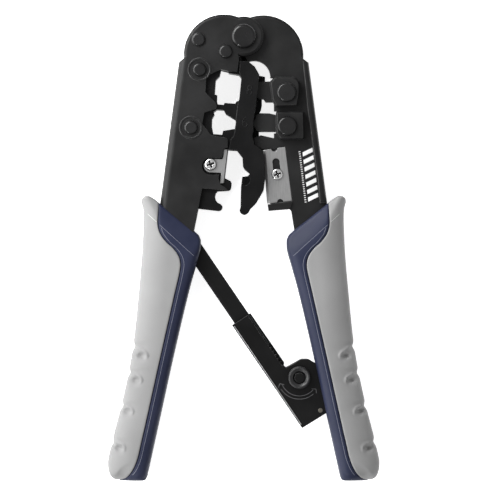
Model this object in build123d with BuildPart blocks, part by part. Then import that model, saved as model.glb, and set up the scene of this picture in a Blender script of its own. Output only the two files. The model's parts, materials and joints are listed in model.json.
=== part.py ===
"""Modular-plug crimping tool: two channel handles, a die casting, two crimping punches,
a cable cutter, a stripping blade and a telescopic ratchet strut between the handles.

Millimetres. The tool lies on its back: +Y points to the head, +X to the moving handle,
+Z out of the tool's front. The origin is the main pivot's axis where it meets the ground.
The left handle is fixed and the right handle turns clockwise, as seen from the front."""
import math
import os
from build123d import *

os.makedirs("parts", exist_ok=True)

# ---- driving dimensions -------------------------------------------------------------
MID = 10.5            # height of the tool's middle plane; every level below counts from it
CHANNEL_HALF = 7.0    # outside of the pressed channel handles
SHEET = 2.0           # channel sheet thickness
CAVITY_HALF = CHANNEL_HALF - SHEET
BEND_R = 3.0          # outside bend radius of the channels
CAST_FRONT = 6.7      # face of the die casting's raised centre slab
CAST_SLOT = 3.7       # half height of the slot in which punches and cutter plate travel
PLATE_HALF = 2.5      # moving head plate
LOBE_R = 8.05         # round end of both frames about the pivot
SHOULDER_R = 16.45
SHOULDER_AT = (8.0, -7.6)
RIM_DROP = 0.7        # slope of the head's outer rims
RIM_WIDTH = 1.0
PIN_R = 4.0           # main pivot
RUNNING = 0.05        # radial clearance of a running fit
SLIDE_TILT = 7.5      # punches travel left and this many degrees up
GRIP_HALF = 10.5

RIVET_8P = (17.5, -22.9)      # pusher hinges on the moving frame
RIVET_6P = (17.8, -36.7)
LINK_8P = (5.8, -22.0)        # pins that join pushers to punches
LINK_6P = (6.3, -35.6)
TIP_8P = 4.95                 # link pin to comb tip, along the travel
TIP_6P = 3.95
STRUT_ANCHOR = (-23.5, -82.1)
STRUT_HINGE = (37.9, -146.8)
BAR_ANGLE = -55.75            # direction of the ratchet bar and its housing
KNOB_AT = (22.75, -139.3)
BLADE_SCREW = (-13.5, -52.3)
CUTTER_SCREW = (13.8, -56.3)
COIL_R = 6.4                  # return spring about the pivot
WIRE_R = 0.4
COIL_TURNS = 1.25
SPRING_LEG = 360 * COIL_TURNS

STAND = (Align.CENTER, Align.CENTER, Align.MIN)
HANG = (Align.CENTER, Align.CENTER, Align.MAX)


def level(height):
    """Horizontal plane at a height above the tool's middle plane."""
    return Plane.XY.offset(MID + height)


def mirrored(points):
    """The same outline on the other handle."""
    return [(-x, y) for x, y in points]


def along(start, angle, distance, across=0.0):
    """Point at a distance from start in a direction, and across it to the left."""
    turn = math.radians(angle)
    return (
        start[0] + distance * math.cos(turn) - across * math.sin(turn),
        start[1] + distance * math.sin(turn) + across * math.cos(turn),
    )


def save(part, name):
    """Label a finished piece and write its STEP file."""
    part.label = name
    export_step(part, f"parts/{name}.step")


def domed_pin(head_r, shaft_r, low, high, head_height, tail_r=None, tail_height=None):
    """Rivet standing on the origin: shaft from low to high, domed head above, tail below."""
    tail_r = tail_r or head_r
    tail_height = tail_height or head_height
    with BuildPart() as pin:
        with Locations((0, 0, MID + high)):
            Cylinder(head_r, head_height, align=STAND)
        fillet(pin.faces().sort_by(Axis.Z)[-1].edges(), 0.75 * head_height)
        with Locations((0, 0, MID + low)):
            Cylinder(tail_r, tail_height, align=HANG)
        fillet(pin.faces().sort_by(Axis.Z)[0].edges(), 0.3 * tail_height)
        with Locations((0, 0, MID + low)):
            Cylinder(shaft_r, high - low, align=STAND)
    return pin.part


def cross_screw(head_r, head_height, shaft_r, seat, shaft_length):
    """Pan-head screw with a cross recess; its head stands on the level called seat."""
    with BuildPart() as screw:
        with Locations((0, 0, MID + seat)):
            Cylinder(head_r, head_height, align=STAND)
        fillet(screw.faces().sort_by(Axis.Z)[-1].edges(), 0.6 * head_height)
        with Locations((0, 0, MID + seat)):
            Cylinder(shaft_r, shaft_length, align=HANG)
        with Locations((0, 0, MID + seat + head_height)):
            for turn in (0, 90):
                Box(
                    1.25 * head_r, 0.3 * head_r, 1.2 * head_height,
                    rotation=(0, 0, 20 + turn), mode=Mode.SUBTRACT,
                )
    return screw.part


# ---- outlines shared by several pieces ----------------------------------------------
OUTER_EDGE = [(-26.5, -10.65), (-33.7, -65.0), (-36.35, -85.0), (-48.0, -163.0)]
WEB_FACE = [(-24.48, -11.0), (-31.68, -65.0), (-34.33, -85.0), (-46.0, -164.0)]
TANG = [
    (-33.7, -65.0), (-36.35, -85.0), (-48.0, -163.0),
    (-37.6, -163.0), (-20.9, -82.1), (-20.3, -79.0), (-16.9, -62.1),
]
NEST_8P = [
    (-9.2, -13.5), (-6.4, -14.0), (-6.1, -15.0), (-2.0, -15.7), (-0.9, -16.9), (-1.8, -25.6),
    (-2.1, -26.4), (-2.9, -26.6), (-3.5, -27.5), (-7.8, -27.2), (-8.1, -28.0), (-10.5, -27.8),
    (-10.9, -26.6), (-10.8, -24.1), (-11.8, -23.7), (-11.4, -17.8), (-9.8, -16.2), (-9.3, -14.0),
]
NEST_6P = [
    (-10.9, -29.9), (-8.1, -30.1), (-7.3, -31.7), (-3.4, -34.0), (-3.2, -35.3), (-3.6, -37.8),
    (-8.4, -38.6), (-8.8, -40.2), (-12.4, -39.9), (-13.0, -36.6), (-12.9, -33.7),
    (-11.9, -31.9), (-12.2, -30.9),
]


def is_outer_bend(edge):
    """True for the long outside edges of a channel, where the sheet is bent."""
    centre = edge.center()
    outside = abs(centre.X) + 0.14 * centre.Y > 24.3
    return outside and abs(abs(centre.Z - MID) - CHANNEL_HALF) < 0.01


def head_rims(centre, radius, top, x_from, x_to):
    """What is taken off round the head's top, so that its front and back rims slope."""
    with BuildPart() as ring:
        with Locations((*centre, MID + top)):
            Cylinder(radius + 6, RIM_DROP, align=HANG)
            Cone(radius, radius - RIM_WIDTH, RIM_DROP, align=HANG, mode=Mode.SUBTRACT)
        with Locations(((x_from + x_to) / 2, -8.5, MID + top)):
            Box(
                x_to - x_from, 40, 4 * RIM_DROP,
                align=(Align.CENTER, Align.MIN, Align.CENTER), mode=Mode.INTERSECT,
            )
        mirror(about=level(0))
    return ring.part


# ======================================================================================
# Fixed handle
# ======================================================================================
# ---- left frame: pressed channel whose two plates clamp the die casting ---------------
LEFT_PLATE = [
    (-2.2, 6.0), (-2.0, -9.9), (-2.6, -14.6), (-6.1, -14.4), (-9.3, -13.6), (-15.2, -16.4),
    (-15.6, -23.0), (-11.3, -27.3), (-10.9, -28.6), (-11.3, -29.7), (-16.0, -31.2),
    (-16.9, -35.9), (-13.4, -40.2), (-12.1, -40.7), (-7.1, -41.5), (-6.5, -42.2),
    (-6.5, -45.4), (-8.1, -46.1), (-8.8, -49.4), (-10.1, -56.9), (-10.3, -58.0),
    (-9.4, -60.5), (-7.8, -61.6), (-6.2, -63.1), (-16.9, -62.1), (-20.3, -79.0),
    (-20.9, -82.1), (-37.6, -163.0), *reversed(OUTER_EDGE), (-24.39, -9.0), (-20.0, -2.0),
]
DIE_RIVETS = [(-18.45, -1.4), (-7.3, -6.3), (-18.0, -13.65), (-21.5, -37.3)]
DIE_RIVET_R = 1.25
ANCHOR_R = 1.5

with BuildPart() as left_frame:
    with BuildSketch(level(-CHANNEL_HALF)):
        with Locations((-SHOULDER_AT[0], SHOULDER_AT[1])):
            Circle(SHOULDER_R)
        Polygon(
            (-2.2, 10), (-30, 10), (-30, -9.0), (-14, -9.0), (-2.2, -9.0),
            align=None, mode=Mode.INTERSECT,
        )
        Polygon(*LEFT_PLATE, align=None)
        Circle(LOBE_R)
        with Locations((BLADE_SCREW[0], -53.1)):
            Circle(3.5, mode=Mode.SUBTRACT)
            Rectangle(8, 7, align=(Align.MIN, Align.CENTER), mode=Mode.SUBTRACT)
    extrude(amount=2 * CHANNEL_HALF)
    with BuildSketch(level(-CAVITY_HALF)):
        Polygon(
            (12, 12), (-32, 12), (-32, -9.2), (-25.0, -9.2), *WEB_FACE, (12, -164),
            align=None,
        )
    extrude(amount=2 * CAVITY_HALF, mode=Mode.SUBTRACT)
    fillet(left_frame.edges().filter_by(is_outer_bend), BEND_R)
    for rims in (
        head_rims((-SHOULDER_AT[0], SHOULDER_AT[1]), SHOULDER_R, CHANNEL_HALF, -40, -2.2),
        head_rims((0, 0), LOBE_R, CHANNEL_HALF, -2.2, 20),
    ):
        add(rims, mode=Mode.SUBTRACT)
    with Locations((0, 0, MID)):
        Cylinder(PIN_R, 40, mode=Mode.SUBTRACT)
    with Locations(*[(x, y, MID) for x, y in DIE_RIVETS]):
        Cylinder(DIE_RIVET_R, 40, mode=Mode.SUBTRACT)
    with Locations((*STRUT_ANCHOR, MID)):
        Cylinder(ANCHOR_R, 40, mode=Mode.SUBTRACT)
    with Locations((*along((0, 0), SPRING_LEG, COIL_R), MID + CAVITY_HALF)):
        Cylinder(WIRE_R + 0.1, 1.2, mode=Mode.SUBTRACT)
    with Locations((*DIE_RIVETS[2], MID + CHANNEL_HALF), (*DIE_RIVETS[3], MID + CHANNEL_HALF)):
        Cylinder(4.7, 0.25, align=STAND)
        Cylinder(4.1, 0.25, align=STAND, mode=Mode.SUBTRACT)

# ---- die casting: nests for both plugs, raised centre slab, nose and hook jaw ---------
CASTING = [
    (-1.0, -10.25), (-1.0, -7.0), (-7.6, 0.0), (-9.0, 3.0), (-14.0, 5.0), (-19.5, 2.5),
    (-22.0, -4.0), (-22.3, -9.0), (-24.2, -12.0), (-30.2, -57.0), (-27.0, -66.0),
    (-20.5, -70.2), (-10.1, -71.4), (-9.2, -71.0), (-8.7, -70.2), (-8.7, -69.3), (-9.3, -68.6),
    (-10.6, -67.9), (-11.4, -66.9), (-11.7, -65.6), (-11.4, -64.2), (-10.6, -63.3),
    (-6.1, -63.1), (-5.4, -62.6), (-5.1, -61.9), (-4.9, -60.0), (-5.3, -59.1), (-7.5, -58.0),
    (-8.9, -57.6), (-7.3, -46.6), (-6.2, -46.4), (-1.5, -45.4),
]
CENTRE_SLAB = [
    (-1.5, -10.25), (1.8, -10.25), (4.5, -12.4), (5.9, -14.8), (6.4, -15.7), (6.1, -17.9),
    (5.9, -20.8), (5.2, -26.5), (4.0, -34.2), (3.9, -38.9), (3.5, -40.5), (4.5, -44.5),
    (7.9, -46.7), (8.5, -50.3), (8.8, -58.5), (8.2, -62.8), (6.6, -65.7), (5.0, -68.3),
    (2.7, -70.6), (2.1, -71.8), (1.3, -72.6), (0.3, -72.9), (-0.7, -72.6), (-1.4, -72.0),
    (-1.7, -71.1), (-1.3, -69.9), (-1.1, -61.8),
    (-0.6, -57.2), (1.7, -56.9), (2.7, -56.2), (0.4, -54.3), (-0.3, -53.0), (-0.5, -49.4),
    (-2.7, -46.6), (-6.2, -46.4), (-5.8, -45.4), (-5.2, -42.2), (-3.9, -40.5),
    (-3.6, -38.9), (-3.1, -34.0), (-1.1, -17.2), (-1.7, -14.8),
]
CUTTER_SLOT = [
    (25, -38), (12.4, -39.4), (6.0, -39.4), (-2.0, -39.9), (-5.4, -40.9), (-5.4, -46.5),
    (-4.4, -46.9), (-4.4, -76), (25, -76),
]
GUIDE_PLATE = [
    (-1.0, -14.0), (8.8, -16.0), (8.8, -18.9), (7.5, -25.4), (7.5, -27.9), (7.1, -29.9),
    (6.3, -31.2), (6.3, -41.0), (6.2, -43.4), (10.0, -45.6), (10.0, -47.6), (6.0, -47.6),
    (1.5, -44.0), (0.0, -40.0),
]
HEAD_FLANGE = [(-1.5, -10.6), (-1.5, -6.6), (2.0, -6.6), (2.0, -10.6)]
GUIDE_LEVEL = -6.9
BAND_HALF = 4.6
SPRING_ROOM_R = 8.6

with BuildPart() as die_body:
    with BuildSketch(level(-CAVITY_HALF)):
        Polygon(*CASTING, align=None)
        fillet(vertices().group_by(Axis.Y)[0], 0.6)
    extrude(amount=2 * CAVITY_HALF)
    with BuildSketch(level(-CAST_FRONT)):
        Polygon(*CENTRE_SLAB, align=None)
    extrude(amount=2 * CAST_FRONT)
    for link, reach in ((LINK_8P, 9.5), (LINK_6P, 11.8)):
        tilted = Plane(origin=(*link, MID), x_dir=(*along((0, 0), -SLIDE_TILT, 1.0), 0))
        with BuildSketch(tilted.offset(-CAST_SLOT)):
            Rectangle(reach, 2 * BAND_HALF, align=(Align.MAX, Align.CENTER))
            Rectangle(12, 2 * BAND_HALF, align=(Align.MIN, Align.CENTER))
            with Locations((-3.2, 0)):
                Rectangle(15.2, BAND_HALF + 1.3, align=(Align.MIN, Align.MAX))
        extrude(amount=2 * CAST_SLOT, mode=Mode.SUBTRACT)
    with BuildSketch(level(-CAST_SLOT)):
        Polygon(*CUTTER_SLOT, align=None)
    extrude(amount=2 * CAST_SLOT, mode=Mode.SUBTRACT)
    with BuildSketch(level(GUIDE_LEVEL)):
        Polygon(*GUIDE_PLATE, align=None)
    extrude(amount=1.6)
    with BuildSketch(level(-2 * CAST_FRONT)):
        Polygon(*NEST_8P, align=None)
        Polygon(*NEST_6P, align=None)
    extrude(amount=4 * CAST_FRONT, mode=Mode.SUBTRACT)
    with BuildSketch(level(-CAVITY_HALF)):
        Circle(SPRING_ROOM_R)
    extrude(amount=2 * CAVITY_HALF, mode=Mode.SUBTRACT)
    with BuildSketch(level(-CAVITY_HALF)):
        Polygon(*HEAD_FLANGE, align=None)
    extrude(amount=CAVITY_HALF - PLATE_HALF)
    with BuildSketch(level(-PLATE_HALF - 0.4)):
        Polygon((0, 0), (-3.2, -11.3), (6.5, -11.6), (12, -6), align=None)
    extrude(amount=2 * PLATE_HALF + 0.8, mode=Mode.SUBTRACT)
    with Locations((0.3, -58.6, MID + CAST_FRONT)):
        Cylinder(2.4, 9, mode=Mode.SUBTRACT)
    with Locations(*[(x, y, MID) for x, y in DIE_RIVETS]):
        Cylinder(DIE_RIVET_R, 40, mode=Mode.SUBTRACT)
    with Locations((*BLADE_SCREW, MID)):
        Cylinder(1.25, 2 * CAVITY_HALF, mode=Mode.SUBTRACT)

# ---- fasteners of the fixed handle ----------------------------------------------------
rivet = domed_pin(2.8, DIE_RIVET_R, -CHANNEL_HALF, CHANNEL_HALF, 1.3)
with BuildPart() as die_rivets:
    with Locations(*DIE_RIVETS):
        add(rivet)

pivot = domed_pin(
    5.1, PIN_R, -CHANNEL_HALF, CHANNEL_HALF, 2.1, tail_r=5.1, tail_height=MID - CHANNEL_HALF
)
with BuildPart() as pivot_rivet:
    add(pivot)

with BuildPart() as pivot_washers:
    for base in (PLATE_HALF + 0.05, -CAVITY_HALF):
        with Locations((0, 0, MID + base)):
            Cylinder(5.6, CAVITY_HALF - PLATE_HALF - 0.05, align=STAND)
            Cylinder(PIN_R, CAVITY_HALF, align=STAND, mode=Mode.SUBTRACT)

# ---- return spring: a coil about the pivot with one leg in each frame -----------------
COIL_LOW = 3.1
COIL_PITCH = 0.95
coil_rise = COIL_PITCH * COIL_TURNS
coil_top = COIL_LOW + coil_rise

with BuildPart() as return_spring:
    with BuildLine() as coil:
        Helix(
            COIL_PITCH, coil_rise, COIL_R, center=(0, 0, MID + COIL_LOW),
        )
    with BuildSketch(Plane(origin=coil.line @ 0, z_dir=coil.line % 0)):
        Circle(WIRE_R)
    sweep(path=coil.line, is_frenet=True)
    with Locations((COIL_R, 0, MID + COIL_LOW)):
        Cylinder(WIRE_R, 3.6, align=HANG)
    with Locations((*along((0, 0), SPRING_LEG, COIL_R), MID + coil_top)):
        Cylinder(WIRE_R, CAVITY_HALF + 0.5 - coil_top, align=STAND)

# ---- stripping blade and its screw ----------------------------------------------------
STRIP_EDGE = [(-8.0, -46.3), (-6.2, -46.1), (-7.8, -59.9), (-9.6, -60.1)]
BLADE_THICK = 0.8

with BuildPart() as strip_blade:
    with BuildSketch(level(CAVITY_HALF)):
        Polygon(*STRIP_EDGE, align=None)
        Polygon((-8.2, -50.2), (-13.5, -50.0), (-13.5, -55.6), (-8.9, -55.8), align=None)
        with Locations((BLADE_SCREW[0], -52.8)):
            Circle(2.8)
        with Locations(BLADE_SCREW):
            Circle(1.25, mode=Mode.SUBTRACT)
    extrude(amount=BLADE_THICK)
    lip = strip_blade.edges().filter_by(
        lambda e: e.length > 12 and e.center().X > -7.5 and e.center().Z > MID + CAVITY_HALF + 0.5
    )
    chamfer(lip, 0.5)

screw = cross_screw(2.5, 1.4, 1.25, CAVITY_HALF + BLADE_THICK, 7.0)
with BuildPart() as strip_blade_screw:
    with Locations(BLADE_SCREW):
        add(screw)

with BuildPart() as strut_anchor_pin:
    with Locations((*STRUT_ANCHOR, MID)):
        Cylinder(ANCHOR_R, 2 * CHANNEL_HALF)

# ======================================================================================
# Moving handle
# ======================================================================================
# ---- right frame: flat head plate with an outer rib, channel inside the grip ----------
RIGHT_PLATE = [
    (2.2, 6.0), (0.4, -8.0), (1.8, -10.3), (5.9, -10.0), (10.9, -16.8), (12.4, -16.9),
    (12.4, -30.4), (14.5, -30.6), (14.5, -39.4), (12.4, -39.6), (12.4, -41.5), (7.0, -40.3),
    (4.2, -41.4), (4.6, -44.6), (9.3, -46.6), (10.8, -68.3), (18.7, -70.4), (19.5, -71.4), (20.7, -78.9), (20.9, -82.1),
    (24.0, -97.0), (36.4, -93.0), *mirrored(reversed(OUTER_EDGE[:3])), (24.39, -9.0), (20, -2),
]
RIB = [
    (24.3, -10.2), (24.5, -12.0), (26.2, -29.9), (30.6, -59.9), (31.3, -68.0), (34.1, -68.0),
    (33.7, -65.0), (26.5, -10.65),
]
TANG_CHANNEL = [
    (34.3, -70.0), *mirrored(OUTER_EDGE[2:]), (37.6, -163.0), (20.9, -82.1), (21.8, -80.3),
]
CUTTER_POCKET = [(7.9, -46.3), (16.9, -45.0), (19.8, -67.2), (9.6, -68.4)]
CUTTER_THICK = 0.6
LIP = [(9.8, -68.6), (10.2, -71.3), (18.7, -70.6), (19.9, -67.4)]

with BuildPart() as right_frame:
    with BuildSketch(level(-PLATE_HALF)):
        with Locations(SHOULDER_AT):
            Circle(SHOULDER_R)
        Polygon(
            (2.2, 10), (2.2, -9.0), (30, -9.0), (30, 10),
            align=None, mode=Mode.INTERSECT,
        )
        Polygon(*RIGHT_PLATE, align=None)
        with Locations((4.3, -16.4)):
            Circle(6.6, mode=Mode.SUBTRACT)
        Circle(LOBE_R)
    extrude(amount=2 * PLATE_HALF)
    with BuildSketch(level(-CHANNEL_HALF)):
        Polygon(*RIB, align=None)
        Polygon(*TANG_CHANNEL, align=None)
    extrude(amount=2 * CHANNEL_HALF)
    with BuildSketch(level(-CAVITY_HALF)):
        Polygon(*mirrored(WEB_FACE[2:]), (20, -164), (15, -98), (33.0, -98), align=None)
    extrude(amount=2 * CAVITY_HALF, mode=Mode.SUBTRACT)
    fillet(right_frame.edges().filter_by(is_outer_bend), BEND_R - 1)
    add(head_rims(SHOULDER_AT, SHOULDER_R, PLATE_HALF, 2.2, 40), mode=Mode.SUBTRACT)
    with BuildSketch(level(-PLATE_HALF)):
        Polygon(*LIP, align=None)
    extrude(amount=2 * PLATE_HALF + 1.0)
    with BuildSketch(level(PLATE_HALF)):
        Polygon(*CUTTER_POCKET, align=None)
    extrude(amount=-CUTTER_THICK, mode=Mode.SUBTRACT)
    with Locations((0, 0, MID)):
        Cylinder(PIN_R + RUNNING, 40, mode=Mode.SUBTRACT)
    for hinge in (RIVET_8P, RIVET_6P):
        with Locations((*hinge, MID)):
            Cylinder(2.5, 40, mode=Mode.SUBTRACT)
    with Locations((*CUTTER_SCREW, MID)):
        Cylinder(1.2, 40, mode=Mode.SUBTRACT)
    with Locations((*STRUT_HINGE, MID)):
        Cylinder(1.5, 2 * CHANNEL_HALF, mode=Mode.SUBTRACT)
    with BuildSketch(level(-PLATE_HALF)):
        SlotArc(CenterArc((0, 0), COIL_R, -8, 30, mode=Mode.PRIVATE), height=1.5)
    extrude(amount=2 * PLATE_HALF, mode=Mode.SUBTRACT)

# ---- pusher hinge rivets --------------------------------------------------------------
CHEEK_FRONT = 6.3
CHEEK_BACK = -5.0
pusher_rivet = domed_pin(
    4.0, 2.5, CHEEK_BACK - 0.1, CHEEK_FRONT + 0.1, 1.4, tail_r=3.0, tail_height=1.3
)
with BuildPart() as pusher_rivets:
    with Locations(RIVET_8P, RIVET_6P):
        add(pusher_rivet)

# ---- cutter blade: a slotted razor in its pocket --------------------------------------
with BuildPart() as cutter_blade:
    with BuildSketch(level(PLATE_HALF - CUTTER_THICK)):
        Polygon((7.9, -46.4), (16.9, -45.1), (19.7, -67.1), (9.6, -68.3), align=None)
        with Locations((12.5, -45.7), (15.0, -67.7)):
            Circle(1.3, mode=Mode.SUBTRACT)
        Polygon(
            (11.8, -51.4), (14.7, -51.1), (15.3, -56.1), (12.3, -56.5),
            align=None, mode=Mode.SUBTRACT,
        )
        with Locations((13.25, -51.25), CUTTER_SCREW):
            Circle(1.5, mode=Mode.SUBTRACT)
    extrude(amount=CUTTER_THICK)
    cutting_edge = cutter_blade.edges().filter_by(
        lambda e: e.length > 15 and e.center().X < 10 and e.center().Z > MID + PLATE_HALF - 0.1
    )
    chamfer(cutting_edge, 0.25, 1.1)

screw = cross_screw(2.35, 1.0, 1.2, PLATE_HALF, 2 * PLATE_HALF)
with BuildPart() as cutter_screw:
    with Locations(CUTTER_SCREW):
        add(screw)

with BuildPart() as housing_pivot_pin:
    with Locations((*STRUT_HINGE, MID)):
        Cylinder(1.5, 2 * CHANNEL_HALF)

# ======================================================================================
# Pushers and punches
# ======================================================================================
NECK_HALF = 3.3
TANG_HALF = 1.2
LINK_R = 1.2
PUNCH_HALF = 3.4
EAR_GAP = 1.5
FORK = {
    "pusher_8p": {
        "body": [
            (10.7, -18.5), (13.0, -16.3), (20.5, -16.6), (22.3, -17.9), (23.0, -20.0),
            (22.8, -23.8), (22.0, -28.5), (13.2, -28.9), (11.6, -25.8),
        ],
        "neck": [
            (11.4, -18.3), (6.4, -18.5), (4.6, -19.9), (4.6, -24.1), (6.2, -25.2), (8.2, -25.6),
            (9.0, -26.8), (12.2, -26.8), (12.4, -24.0),
        ],
        "shelf": [(9.8, -18.5), (18.0, -18.5), (18.0, -26.5), (9.8, -25.6)],
        "rivet": RIVET_8P, "link": LINK_8P, "tip": TIP_8P,
    },
    "pusher_6p": {
        "body": [
            (13.2, -30.7), (24.7, -30.7), (24.9, -42.2), (14.9, -42.2), (13.2, -39.8),
        ],
        "neck": [
            (13.2, -32.0), (10.6, -31.4), (6.5, -31.3), (5.0, -32.2), (5.0, -38.2), (6.2, -38.9), (13.2, -38.9),
        ],
        "shelf": [(8.0, -32.0), (18.0, -32.0), (18.0, -38.9), (8.0, -38.9)],
        "rivet": RIVET_6P, "link": LINK_6P, "tip": TIP_6P,
    },
}


def pusher(spec):
    """Forked link: cheeks each side of the moving plate, neck and ears about the link pin."""
    with BuildPart() as fork:
        with BuildSketch(level(PLATE_HALF + 0.2)):
            Polygon(*spec["body"], align=None)
            fillet(vertices(), 0.7)
        extrude(amount=CHEEK_FRONT - PLATE_HALF - 0.2)
        chamfer(fork.faces().sort_by(Axis.Z)[-1].edges(), 0.6)
        with BuildSketch(level(CHEEK_BACK)):
            Polygon(*spec["body"], align=None)
            fillet(vertices(), 0.7)
        extrude(amount=-CHEEK_BACK - PLATE_HALF - 0.2)
        for low, high in ((PLATE_HALF + 0.2, NECK_HALF), (-NECK_HALF, -PLATE_HALF - 0.2)):
            with BuildSketch(level(low)):
                Polygon(*spec["shelf"], align=None)
            extrude(amount=high - low)
        with BuildSketch(level(-NECK_HALF)):
            Polygon(*spec["neck"], align=None)
            with Locations(spec["link"]):
                Circle(2.4)
        extrude(amount=2 * NECK_HALF)
        with Locations((*spec["link"], MID)):
            Cylinder(3.0, 2 * EAR_GAP, mode=Mode.SUBTRACT)
            Cylinder(LINK_R, 2 * NECK_HALF - 0.6, mode=Mode.SUBTRACT)
        with Locations((*spec["rivet"], MID)):
            Cylinder(2.5 + RUNNING, 40, mode=Mode.SUBTRACT)
    return fork.part


def link_pin(spec):
    """Short pin held in the pusher's two ears."""
    with BuildPart() as pin:
        with Locations((*spec["link"], MID)):
            Cylinder(LINK_R, 2 * NECK_HALF - 0.6)
    return pin.part


def travel_plane(spec, height):
    """Plane on the link pin whose X runs along the punch's travel, towards the nest."""
    return Plane(
        origin=(*spec["link"], MID + height), x_dir=(*along((0, 0), 180 - SLIDE_TILT, 1.0), 0)
    )


def punch_block(spec, width, front):
    """Slide block with a tang that fits loosely about the link pin."""
    with BuildPart() as block:
        with BuildSketch(travel_plane(spec, -TANG_HALF)):
            Circle(2.3)
            Rectangle(front, 3.4, align=(Align.MIN, Align.CENTER))
        extrude(amount=2 * TANG_HALF)
        with BuildSketch(travel_plane(spec, -PUNCH_HALF)):
            with Locations((front, 0)):
                Rectangle(front - 2.55, width, align=(Align.MAX, Align.CENTER))
        extrude(amount=2 * PUNCH_HALF)
        with Locations(travel_plane(spec, 0)):
            Cylinder(LINK_R + 0.3, 2 * TANG_HALF, mode=Mode.SUBTRACT)
    return block.part


def contact_comb(spec, count, front):
    """Comb that drives the plug's contacts: one thin tooth for each, on a common back."""
    reach = spec["tip"] - front
    with BuildPart() as comb:
        with BuildSketch(travel_plane(spec, 0.4)):
            with Locations((front, 0)):
                Rectangle(0.35 * reach, count * 1.02, align=(Align.MIN, Align.CENTER))
            with Locations((front, 0)):
                with GridLocations(0, 1.02, 1, count):
                    Rectangle(reach, 0.5, align=(Align.MIN, Align.CENTER))
        extrude(amount=2.4)
    return comb.part


def strain_bar(spec, width, front):
    """Blunt bar that folds the plug's strain relief onto the cable."""
    with BuildPart() as bar:
        with BuildSketch(travel_plane(spec, -PUNCH_HALF)):
            with Locations((front, 0)):
                Rectangle(spec["tip"] - front - 0.2, width, align=(Align.MIN, Align.CENTER))
        extrude(amount=1.6)
    return bar.part


PUNCH_SHAPE = {
    "8p": {"spec": FORK["pusher_8p"], "width": 8.6, "front": 3.9, "contacts": 8},
    "6p": {"spec": FORK["pusher_6p"], "width": 7.4, "front": 3.1, "contacts": 6},
}

# ======================================================================================
# Ratchet strut between the handles
# ======================================================================================
HOUSING_HALF = 4.4
HOUSING_WALL = 1.5
BAR_HALF_WIDTH = 3.5
BAR_HALF_THICK = 1.5
MOUTH = (-0.77, -115.5)       # bar axis where it enters the housing
BAR_INSIDE = 31.0             # bar end beyond the mouth, handles open
EYE_R = 4.0
EYE_PLAY = 1.05               # radial room of the eye about its anchor pin

# ---- ratchet bar: eye, flat bar, teeth on the edge that faces the pawl ----------------
bar_length = math.dist(STRUT_ANCHOR, MOUTH) + BAR_INSIDE
tooth_pitch = 1.8
with BuildPart() as ratchet_bar:
    bar_plane = Plane(
        origin=(*STRUT_ANCHOR, MID - BAR_HALF_THICK), x_dir=(*along((0, 0), BAR_ANGLE, 1.0), 0)
    )
    with BuildSketch(bar_plane):
        Circle(EYE_R)
        Rectangle(bar_length, 2 * BAR_HALF_WIDTH, align=(Align.MIN, Align.CENTER))
        for tooth in range(8):
            root = bar_length - 2.0 - tooth * tooth_pitch
            Polygon(
                (root, BAR_HALF_WIDTH), (root - tooth_pitch, BAR_HALF_WIDTH),
                (root - 0.25 * tooth_pitch, BAR_HALF_WIDTH - 1.0),
                align=None, mode=Mode.SUBTRACT,
            )
        Circle(ANCHOR_R + EYE_PLAY, mode=Mode.SUBTRACT)
    extrude(amount=2 * BAR_HALF_THICK)
    chamfer(
        ratchet_bar.edges().filter_by(lambda e: e.length > 30), 0.4
    )

# ---- housing: folded sheet with a web along its lower edge and a lobe for the knob ----
HOUSING = [
    (-4.7, -118.1), (2.75, -113.2), (16.7, -133.5), (16.5, -134.6), (17.3, -135.4),
    (19.8, -134.0), (23.6, -131.9), (26.4, -131.9), (29.6, -133.8), (36.0, -142.0),
    (42.1, -146.8), (37.9, -151.0), (34.0, -153.8), (23.9, -160.1),
]
HOUSING_INSIDE = [
    (-4.12, -117.7), (-9.75, -109.4), (8.0, -105.0), (18.0, -130.0), (22.0, -128.0),
    (50.0, -140.0), (44.0, -152.0), (33.5, -152.6), (23.75, -158.64),
]
KNOB_SHAFT_R = 1.4
STOP_AT = (31.4, -152.8)

with BuildPart() as ratchet_housing:
    with BuildSketch(level(-HOUSING_HALF)):
        Polygon(*HOUSING, align=None)
        with Locations(STRUT_HINGE):
            Circle(4.2)
        fillet(vertices().filter_by(lambda v: v.X > 17.6 and v.Y > -140), 1.5)
    extrude(amount=2 * HOUSING_HALF)
    with BuildSketch(level(-HOUSING_HALF + 1.9)):
        Polygon(*HOUSING_INSIDE, align=None)
    extrude(amount=2 * (HOUSING_HALF - 1.9), mode=Mode.SUBTRACT)
    with BuildSketch(level(HOUSING_HALF - 1.9)):
        Polygon(
            (4.0, -112.0), (18.0, -132.8), (16.5, -134.6), (15.3, -134.2), (1.4, -113.6),
            align=None,
        )
    extrude(amount=1.9, mode=Mode.SUBTRACT)
    with Locations((*KNOB_AT, MID)):
        Cylinder(KNOB_SHAFT_R + RUNNING, 40, mode=Mode.SUBTRACT)
    with Locations((*STRUT_HINGE, MID)):
        Cylinder(1.5 + RUNNING, 40, mode=Mode.SUBTRACT)
    with Locations((*STOP_AT, MID)):
        Cylinder(0.9, 40, mode=Mode.SUBTRACT)

with BuildPart() as housing_stop_pin:
    with Locations((*STOP_AT, MID)):
        Cylinder(0.9, 2 * HOUSING_HALF + 0.4)

# ---- release knob, its shaft and the pawl that it lifts -------------------------------
KNOB_R = 4.7
KNOB_BASE = HOUSING_HALF + 0.2
PAWL_REACH = 4.6
PAWL_ANGLE = BAR_ANGLE - 90 + 49.5

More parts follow.
